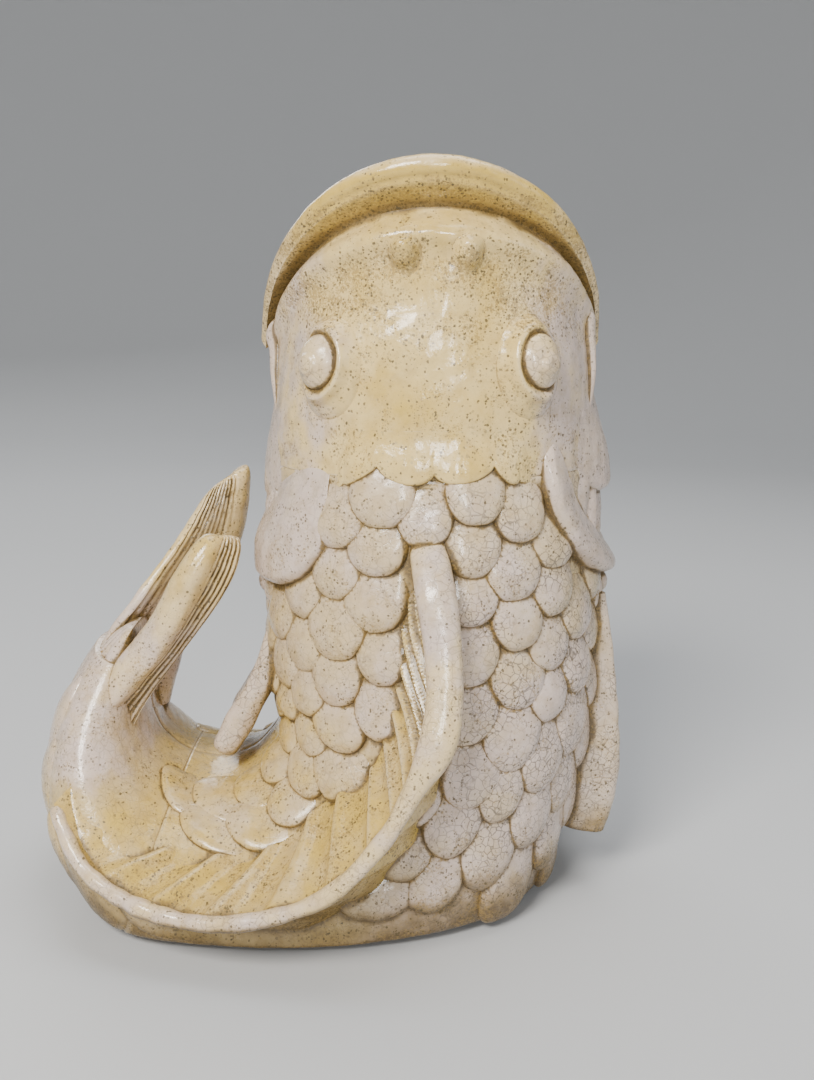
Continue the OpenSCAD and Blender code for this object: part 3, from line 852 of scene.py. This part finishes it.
def band(name, inner, outer, heights, lip_share):
    """A rolled cover on the skin between two edges given as (t, v)."""
    u, w = grid(190, 60)
    w = w**0.9
    a, b = along(inner, u), along(outer, u)
    k = mix(a, b, w[..., None])
    t, v = k[..., 0], k[..., 1]
    width = np.hypot((b - a)[..., 0] * STEP, (b - a)[..., 1] * DEGREE)
    tall = along(heights, u)
    rise = mix(lip_share, 1, smooth(w / 0.75))
    start = dome(np.clip(1 - w * width / 3, 0, 1), 2.0)
    roll = dome(np.clip(1 - (1 - w) * width / 9, 0, 1), 2.0)
    h = relief(t, v) - 2.5 + (tall + 2.5) * rise * start * roll
    h[0], h[-1] = -3, -3
    Solid().slab(skin(t, v, h), skin(t, v, -4.5)).finish(
        name, "glaze_grey", LOOKS["grey"]
    )


band(
    "gill_cover_left",
    [
        (4.8, 128), (4.6, 132), (4.5, 138), (4.65, 148),
        (5.0, 160), (5.25, 172), (5.3, 186), (4.9, 202),
    ],
    [
        (5.15, 127), (5.7, 126.5), (6.3, 129), (6.85, 140),
        (7.02, 155), (6.95, 171), (6.6, 188), (5.8, 204),
    ],
    [0, 4, 8, 13, 16, 15.5, 11, 2],
    0.0,
)
band(
    "gill_cover_right",
    [
        (4.3, 47), (4.75, 43), (5.15, 40), (5.55, 35),
        (5.95, 25), (6.25, 11), (6.3, -3), (6.0, -15),
        (5.5, -23), (5.0, -27),
    ],
    [
        (4.5, 50), (4.8, 53), (5.25, 53), (5.75, 49.5),
        (6.3, 41), (6.85, 22), (7.0, 3), (6.75, -16),
        (6.1, -31), (5.0, -38),
    ],
    [-2, 5, 9.5, 11, 13.5, 17, 18, 15, 9, 2],
    0.5,
)


def knob(x, y):
    main = 13 * dome(np.minimum(np.hypot(x / 12, y / 11), 1), 2.2)
    second = 9 * dome(np.minimum(np.hypot((x - 14) / 8, (y - 3) / 12), 1), 2.2)
    third = 7 * dome(np.minimum(np.hypot((x - 24) / 7, (y - 8) / 11), 1), 2.2)
    return np.maximum(np.maximum(main, second), third) - 0.5


patch("fin_knob_left", "glaze_grey", "grey", [(7.2, 177, 34, 1, knob)], 44, 90)
patch("fin_knob_right", "glaze_grey", "grey", [(7.2, 4, 34, -1, knob)], 44, 90)


# ---------- fins ----------
def fin(
    name,
    slot,
    kind,
    fronts,
    backs,
    thick,
    rays,
    slant=0.0,
    notch=0.0,
    edge=0.13,
    tip_from=0.955,
    corner=0.1,
    blunt=2.0,
):
    """A thick-edged fin slab between a front and a back edge, with rays.

    thick: thickness in mm at each knot; slant: how far the rays lean; notch:
    depth of the steps of the far edge; edge: share of the width that is the
    rounded edge, of roundness blunt; the tip narrows by corner from tip_from on.
    """
    rows, cols = 130, 96
    u = np.linspace(0, 1, rows)[:, None]
    w = ((1 - np.cos(np.linspace(0, math.pi, cols))) / 2)[None, :]
    a, b = along(fronts, u), along(backs, u)
    chord = b - a
    length = np.linalg.norm(chord, axis=-1)
    tip = dome(np.clip((u - tip_from) / (1 - tip_from), 0, 1), 2.2)
    corner = 1 - corner * (1 - tip)
    wave = notch * (0.5 + 0.5 * np.cos(2 * math.pi * 5.5 * u)) * smooth((w - 0.6) / 0.4)
    reach = 0.5 + (w - 0.5) * corner + wave / length
    place = a + chord * reach[..., None]
    face = unit(np.cross(chord, np.gradient(place, axis=0)))
    thick = along(thick, u) if isinstance(thick, list) else thick
    lead = dome(np.clip(1 - w / edge, 0, 1), blunt)
    plate = mix(1, 0.5, smooth((w - edge) / (edge * 1.3)))
    trail = dome(np.clip((w - 0.94) / 0.06, 0, 1), 2.0)
    phase = rays * (w - slant * u * (1 - w))
    groove = np.exp(-((np.abs(phase % 1 - 0.5) / 0.2) ** 2))
    ribs = 1.8 * groove * smooth((w - edge * 1.5) / 0.08) * smooth((0.985 - w) / 0.03)
    half = (thick / 2 * plate - ribs) * lead * trail * tip
    half = half + 0.35 * lumps(place, 22, 8) * lead * trail * tip
    top, low = place + face * half[..., None], place - face * half[..., None]
    loops = np.concatenate([top, low[:, ::-1][:, 1:-1]], 1)
    return Solid().tube(loops).finish(name, slot, LOOKS[kind])


fin(
    "pectoral_fin_left",
    "glaze_grey",
    "fin",
    [(-112, -30, 240), (-119, -38, 208), (-129, -43, 174), (-143, -46, 148), (-164, -48, 110)],
    [(-112, 12, 240), (-118, 34, 206), (-131, 56, 174), (-146, 68, 148), (-169, 80, 110)],
    [13, 17, 20, 22, 22],
    8,
    notch=2,
    edge=0.08,
    corner=0.3,
    tip_from=0.9,
)
fin(
    "pectoral_fin_right",
    "glaze_grey",
    "fin",
    [(129, -30, 238), (132, -38, 190), (131, -44, 130), (128, -44, 85), (119, -38, 44)],
    [(126, 12, 240), (130, 38, 195), (131, 66, 140), (128, 84, 90), (119, 92, 48)],
    [14, 22, 36, 42, 42],
    8,
    notch=4,
    edge=0.1,
    blunt=3.6,
)
fin(
    "caudal_lobe_front",
    "glaze_pale",
    "tail",
    [
        (-297, -44, 92), (-284, -54, 132), (-246, -56, 178), (-214, -57, 216),
        (-192, -58, 258), (-173, -48, 290),
    ],
    [
        (-252, -36, 84), (-236, -44, 124), (-216, -34, 166), (-187, -36, 205),
        (-155, -38, 248), (-141, -36, 284),
    ],
    [14, 22, 31, 31, 27, 23],
    6,
    slant=0.9,
    edge=0.3,
    tip_from=0.86,
    corner=0.45,
)
fin(
    "caudal_lobe_rear",
    "glaze_pale",
    "tail",
    [(-222, 44, 130), (-206, 56, 186), (-182, 66, 226), (-158, 70, 272), (-149, 60, 329)],
    [(-276, -20, 130), (-257, -24, 192), (-230, -16, 232), (-201, 4, 272), (-180, 34, 309)],
    [26, 24, 20, 17, 15],
    8,
    slant=0.7,
    edge=0.2,
    tip_from=0.92,
    corner=0.3,
)

# Each row is centre x, y, z, lean of the section, half thickness, half depth
CAUDAL = [
    (-251, 0, 162, 170, 24, 46),
    (-245, -2, 184, 163, 20, 47),
    (-234, -8, 206, 152, 13, 38),
    (-219, -14, 226, 142, 7, 26),
    (-204, -20, 244, 136, 2, 12),
]


def caudal_root():
    start = -0.12
    u = np.linspace(start, 0.6, 80)[:, None]
    k = along(CAUDAL, u)
    a = np.linspace(0, 360, 120, endpoint=False)[None, :]
    end = dome(np.clip((u - 0.26) / 0.34, 0, 1), 2.0)
    lane = 6 * sind(a) + 0.8 * u
    ribs = 1 - 0.16 * np.exp(-((np.abs(lane % 1 - 0.5) / 0.18) ** 2)) * smooth(u / 0.35)
    # the root comes out of the stalk just before the shells end
    grow = 0.9 + 0.2 * smooth((u - start) / -start) - 0.1 * smooth(u / 0.25)
    r = cosd(a) * k[..., 4] * end * ribs * grow
    loops = np.stack(
        [
            k[..., 0] + r * cosd(k[..., 3]),
            k[..., 1] - sind(a) * k[..., 5] * grow,
            k[..., 2] + r * sind(k[..., 3]),
        ],
        -1,
    )
    Solid().tube(loops).finish("caudal_root", "glaze_pale", LOOKS["tail"])


caudal_root()

DORSAL_LEFT = [
    (6, 93),
    (6.6, 97),
    (7.3, 101),
    (8, 103),
    (8.6, 105),
    (9.3, 108),
    (10, 113),
    (11, 118),
    (12.2, 118),
    (13.4, 117),
    (14.7, 113),
    (16, 104),
]
DORSAL_RIGHT = [
    (6, 91),
    (6.7, 89.5),
    (7.4, 87),
    (8.1, 86),
    (8.7, 85),
    (9.4, 85),
    (10.1, 89),
    (11, 94.5),
    (12.2, 98),
    (13.4, 98),
    (14.7, 95),
    (16, 92),
]
CREST = [
    (-5, -126, 295),
    (2, -146, 263),
    (6, -156, 231),
    (7, -167, 200),
    (2, -177, 172),
    (-13, -184, 144),
    (-36, -190, 107),
    (-76, -191, 68),
    (-138, -181, 45),
    (-197, -164, 45),
    (-247, -138, 62),
    (-276, -108, 98),
]


WEB_RAYS = 15
RAY_CREST = 2.0
RAY_DEPTH = 5.2


def rim_share(u):
    """0 on the broad crest, 1 on the thin rim of the dish."""
    return smooth((u - 0.34) / 0.18)


def along_crest(u):
    p = along(CREST, u)
    p = p + np.array([0, 9, 4]) * (1 - smooth(u / 0.09))[..., None]
    d = unit(along(CREST, np.minimum(u + 0.02, 1)) - along(CREST, np.maximum(u - 0.02, 0)))
    return p, d


def dorsal_web():
    """Ribbed web between the back and the crest; it opens into a dish."""
    u, w = grid(330, 40)
    p, d = along_crest(u)
    left, right = along(DORSAL_LEFT, u), along(DORSAL_RIGHT, u)
    spread = 11 * smooth((left[..., 0] - 9.6) / 1.2) * smooth((16.3 - left[..., 0]) / 1.2)
    roots = [
        skin(left[..., 0], left[..., 1] + spread, mix(-1.5, -6, smooth((u - 0.8) / 0.1))),
        skin(right[..., 0], right[..., 1], -3.0),
    ]
    across = unit(np.cross(d, p - (roots[0] + roots[1]) / 2))
    # a ray leaves the root at u0 and meets the rim further along
    start = np.linspace(-0.6, 1, 400)
    slope = 0.2 * (1 - smooth((start - 0.05) / 0.5)) + 0.06
    u0 = np.empty_like(u)
    for j in range(u.shape[1]):
        u0[:, j] = np.interp(u[:, j], start + slope * w[0, j], start)
    groove = np.exp(-((np.abs((WEB_RAYS * u0) % 1 - 0.5) / 0.2) ** 2))
    ends = smooth((0.97 - u) / 0.12) * smooth(w / 0.12) * smooth((1.02 - w) / 0.1)
    ripple = (RAY_CREST - RAY_DEPTH * groove) * ends
    dish = smooth((u - 0.42) / 0.25)
    sides = []
    for k, s in ((0, -1), (1, 1)):
        b = p + s * across * mix(5.2, 3.4, rim_share(u))[..., None]
        sag = -3 if s < 0 else -3 + 3 * dish
        rib = ripple * (1 + 0.5 * dish) if s < 0 else ripple * 0.7
        push = s * (rib + sag * np.sin(math.pi * w))
        sides.append(mix(roots[k], b, w[..., None]) + across * push[..., None])
    Solid().slab(*sides).finish("dorsal_fin_web", "glaze_ochre", LOOKS["dish"])


def dorsal_crest():
    u = np.linspace(0, 1, 300)[:, None]
    p, d = along_crest(u)
    a = unit(np.cross(d, np.array([0, -1, 0.2])))
    b = np.cross(a, d)
    ends = dome(np.clip(1 - u / 0.03, 0, 1), 2.0) * dome(np.clip((u - 0.97) / 0.03, 0, 1), 2.0)
    rim = rim_share(u)
    uneven = 1 + 0.13 * lumps(p, 26, 21) * rim + 0.04 * lumps(p, 60, 22)
    wide = mix(13.0, 5.6, rim) * ends * uneven
    deep = mix(9.0, 5.8, rim) * ends * uneven
    k = np.linspace(0, 360, 44, endpoint=False)[None, :]
    c, s = cosd(k), sind(k)
    c = np.sign(c) * np.abs(c) ** 0.85
    s = np.sign(s) * np.abs(s) ** 0.85
    loops = p + a * (wide * c)[..., None] + b * (deep * s)[..., None]
    Solid().tube(loops).finish("dorsal_fin_crest", "glaze_pale", LOOKS["crest"])


dorsal_web()
dorsal_crest()

# ---------- scales ----------
COLUMNS = 24
PITCH = 35
GROWTH = 0.55
CROWN = 4.6
COURSES = 17
V_GRID = np.linspace(0, 360, 97)
T_GRID = np.arange(3.95, 19.0, 0.1)
D_GRID = np.arange(-30, 1000, 2.0)


def measure_columns():
    """Station at each distance along the skin, for each angle round it."""
    t, v = np.meshgrid(T_GRID, V_GRID, indexing="ij")
    near = np.linalg.norm(np.diff(skin(t, v), axis=0), axis=-1)
    mid = np.linalg.norm(np.diff(skin(T_GRID, 90.0), axis=0), axis=-1)[:, None]
    step = np.maximum(mix(mid, near, 0.55), 2)
    far = np.vstack([np.zeros((1, len(V_GRID))), np.cumsum(step, 0)])
    zero = np.array([np.interp(4.75, T_GRID, far[:, k]) for k in range(len(V_GRID))])
    far = far - zero
    return np.array([np.interp(D_GRID, far[:, k], T_GRID) for k in range(len(V_GRID))])


STATION_AT = measure_columns()


def lattice(c, r):
    """Station and angle of a place counted in scale columns and courses."""
    v = 94 - 360 / COLUMNS * c
    x = (v % 360) / 360 * (len(V_GRID) - 1)
    y = np.clip((PITCH * r + GROWTH * r * r - D_GRID[0]) / 2, 0, len(D_GRID) - 1.001)
    i, j = np.minimum(x.astype(int), len(V_GRID) - 2), y.astype(int)
    f, g = x - i, y - j
    top = mix(STATION_AT[i, j], STATION_AT[i + 1, j], f)
    low = mix(STATION_AT[i, j + 1], STATION_AT[i + 1, j + 1], f)
    return mix(top, low, g), v


def shown(c, r):
    """Scales are left out under the gills, the dorsal fin and the foot."""
    t, v = lattice(np.array(float(c)), np.array(float(r)))
    v = v % 360
    s = along(STATIONS, t / LAST)
    z = s[1] + cosd(v) * s[3] * sind(s[2])
    spine = np.interp(t, *np.array(DORSAL_LEFT).T)
    return not (
        t <= 5.05
        or t >= 18.1
        or z <= 27
        or (t < 6.75 and (v < 48 or v > 132) and (v > 315 or v < 225))
        or (t < 5.9 and v < 57)
        or (9.6 < t < 17 and 164 < v < 202)
        or (t > 6.3 and abs(v - spine + 5) < 6)
        or (10.4 < t < 16 and 100 < v < spine + 13)
        or (t > 13.9 and round(c) % 2 == 1)
        or (t > 13.9 and 60 < v < 202)
    )


def one_scale(solid, c, r, rng):
    shift = rng.uniform(-1, 1, 2) * (0.12, 0.1) - (0, 0.08)
    size = rng.uniform(0.88, 1.12)
    swing = rng.uniform(-9, 9)
    crown = CROWN * rng.uniform(1.25, 1.6)
    point = rng.uniform(0.0, 0.7)
    bulge = rng.uniform(2.0, 2.6)
    tc, vc = lattice(np.array(c + shift[0]), np.array(r + shift[1]))
    broad = 1 + smooth((tc - 13.7) / 0.6)
    a = np.linspace(0, 360, 64, endpoint=False)
    sa, ca = sind(a), cosd(a)
    x = 0.77 * np.sign(ca) * np.abs(ca) ** 0.84
    x = np.where(sa < 0, x * (1 + 0.3 * np.abs(sa)), x)
    y = np.where(sa > 0, 0.82 * np.abs(sa) ** (0.95 + 0.5 * point), -0.74 * np.abs(sa))
    rho = np.concatenate([np.linspace(0.08, 0.8, 8), np.linspace(0.85, 1, 9)])[:, None]
    px, py = rho * x * size, rho * y * size
    cs, sn = cosd(swing), sind(swing)
    px, py = (px * cs - py * sn) * broad, px * sn + py * cs
    t, v = lattice(c + shift[0] + px, r + shift[1] + py)
    lift = mix(-6.0, 2.6, smooth((py + 0.65) / 1.25))
    pillow = dome(rho, bulge)
    centre = skin(tc, vc)
    low = smooth((-60 - centre[0]) / 60) * smooth((190 - centre[2]) / 60)
    h = (lift + crown * pillow) * (1 - 0.42 * low) - 2.6 * rho**10
    h = h + relief(t, v) * 0.5
    solid.cushion(skin(t, v, h), skin(tc, vc, -4.0))


for course in range(1, COURSES + 1):
    rng = np.random.RandomState(100 + course)
    solid = Solid()
    for c in range(COLUMNS):
        r = course - 0.5 + (0.5 if c % 2 == 0 else 0)
        if shown(c, r):
            one_scale(solid, float(c), r, rng)
    solid.finish(f"scales_{course:02d}", "glaze_scale", LOOKS["body"])


# ---------- painted shade, gathered glaze and wear, from the shape itself ---
def shade_pool_and_wear():
    """Glaze gathers in the grooves; shade is painted in closed, low and downward places; edges are
    worn.
    """
    points, tris, count = [], [], 0
    for obj, _ in made:
        mesh = obj.data
        co = np.empty(len(mesh.vertices) * 3)
        mesh.vertices.foreach_get("co", co)
        mesh.calc_loop_triangles()
        tri = np.empty(len(mesh.loop_triangles) * 3, int)
        mesh.loop_triangles.foreach_get("vertices", tri)
        points.append(co.reshape(-1, 3))
        tris.append(tri.reshape(-1, 3) + count)
        count += len(mesh.vertices)
    tree = BVHTree.FromPolygons(
        np.vstack(points).tolist(), np.vstack(tris).tolist(), all_triangles=True
    )
    near_reach, reach = 0.013, 0.055  # metres: grooves, and hollows
    rays = []  # cones of rays round the normal
    for tip, number in ((25, 2), (50, 4), (72, 4)):
        for k in range(number):
            a = 360 * (k + 0.25 * tip / 25) / number
            rays.append((sind(tip) * cosd(a), sind(tip) * sind(a), cosd(tip)))
    rays = np.array(rays)
    for (obj, seen), co in zip(made, points):
        mesh = obj.data
        n = np.empty(len(mesh.vertices) * 3)
        mesh.vertices.foreach_get("normal", n)
        n = unit(n.reshape(-1, 3))
        side = unit(np.cross(n, np.where(np.abs(n[:, 2:]) < 0.8, (0, 0, 1), (1, 0, 0))))
        up = np.cross(n, side)
        near, wide = np.zeros(len(co)), np.zeros(len(co))
        start = co + n * 0.0006
        picked = np.nonzero(seen)[0].tolist()
        starts = start.tolist()
        for x, y, z in rays:
            way = (side * x + up * y + n * z).tolist()
            for k in picked:
                far = tree.ray_cast(starts[k], way[k], reach)[3]
                if far is not None:
                    wide[k] += 1 - far / reach
                    if far < near_reach:
                        near[k] += 1 - far / near_reach
        near /= len(rays)
        wide /= len(rays)
        # painted shade on the undersides and close to the ground
        low = smooth((0.13 - co[:, 2]) / 0.12)
        under = (0.32 + 0.3 * low) * smooth((0.25 - n[:, 2]) / 0.8) * mix(0.5, 1, low)
        under = under + 0.45 * smooth((0.08 - co[:, 2]) / 0.07)
        edges = np.empty(len(mesh.edges) * 2, int)
        mesh.edges.foreach_get("vertices", edges)
        a, b = edges.reshape(-1, 2).T
        gap = co[a] - co[b]
        size = np.linalg.norm(gap, axis=1)
        bend, total = np.zeros(len(co)), np.zeros(len(co))
        np.add.at(bend, a, np.einsum("ij,ij->i", gap, n[a]) / np.maximum(size, 1e-5))
        np.add.at(bend, b, np.einsum("ij,ij->i", -gap, n[b]) / np.maximum(size, 1e-5))
        np.add.at(total, a, 1)
        np.add.at(total, b, 1)
        bend /= np.maximum(total, 1)
        # darkness in the grooves (gathered glaze with painted shade) and in broad hollows (painted
        # shade)
        closed = smooth((near - 0.02) / 0.36) + 0.5 * smooth((wide - 0.16) / 0.4)
        put(mesh, "pool_and_shade", np.clip(closed + under, 0, 1.2))
        put(mesh, "wear", smooth((bend - 0.05) / 0.16) * (1 - smooth(near / 0.2)))


shade_pool_and_wear()


# ---------- floor, light and camera ----------
def stage():
    """A round pale floor that sweeps up into a plain backdrop."""
    profile = [(0.0, 0.0), (2.6, 0.0)]
    for a in range(10, 91, 10):
        profile.append((2.6 + 2.4 * sind(a), 2.4 * (1 - cosd(a))))
    profile.append((5.0, 5.0))
    sides = 96
    verts = [(0, 0, 0)]
    for r, z in profile[1:]:
        for k in range(sides):
            a = 360 * k / sides
            verts.append((r * cosd(a), r * sind(a), z))
    faces = [(0, 1 + k, 1 + (k + 1) % sides) for k in range(sides)]
    for i in range(len(profile) - 2):
        for k in range(sides):
            a, b = 1 + i * sides + k, 1 + i * sides + (k + 1) % sides
            faces.append((a, a + sides, b + sides, b))
    mesh = bpy.data.meshes.new("studio_floor")
    mesh.from_pydata(verts, [], faces)
    mesh.shade_smooth()
    floor = bpy.data.objects.new("studio_floor", mesh)
    bpy.context.scene.collection.objects.link(floor)
    mat = bpy.data.materials.new("studio_floor")
    mat.use_nodes = True
    shader = mat.node_tree.nodes["Principled BSDF"]
    shader.inputs["Base Color"].default_value = (0.50, 0.51, 0.52, 1)
    shader.inputs["Roughness"].default_value = 0.8
    mesh.materials.append(mat)
    world = bpy.data.worlds.new("studio")
    world.use_nodes = True
    back = world.node_tree.nodes["Background"]
    back.inputs["Color"].default_value = (0.74, 0.83, 0.95, 1)
    back.inputs["Strength"].default_value = 0.22
    bpy.context.scene.world = world


def lamp(name, place, aim, size, power, colour=(1, 1, 1)):
    data = bpy.data.lights.new(name, "AREA")
    data.shape = "RECTANGLE"
    data.size, data.size_y = size
    data.energy = power
    data.color = colour
    obj = bpy.data.objects.new(name, data)
    obj.location = place
    way = Vector(aim) - Vector(place)
    obj.rotation_euler = way.to_track_quat("-Z", "Y").to_euler()
    bpy.context.scene.collection.objects.link(obj)


stage()
CENTRE = (0, 0, 0.3)
lamp("key", (-1.0, -2.2, 2.3), CENTRE, (1.2, 1.0), 150, (1.0, 0.96, 0.9))
lamp("window", (0.28, -3.4, 1.35), (0, 0, 0.42), (0.5, 0.75), 42, (1.0, 0.98, 0.95))
lamp("top", (0.3, 0.3, 2.6), CENTRE, (1.6, 1.6), 36)
lamp("fill", (2.4, -1.2, 1.2), CENTRE, (1.5, 1.5), 12, (0.86, 0.92, 1.0))
lamp("back", (-1.2, 2.6, 1.8), CENTRE, (1.5, 1.2), 24)


def camera():
    data = bpy.data.cameras.new("camera")
    data.sensor_width = 36
    data.lens = 38.97
    data.clip_start, data.clip_end = 0.02, 60
    cam = bpy.data.objects.new("camera", data)
    cam.location = (AXIS[0] - 0.018, AXIS[1] - 0.907, 0.459)
    cam.rotation_euler = (math.radians(78.5), 0, 0)
    bpy.context.scene.collection.objects.link(cam)
    bpy.context.scene.camera = cam


camera()
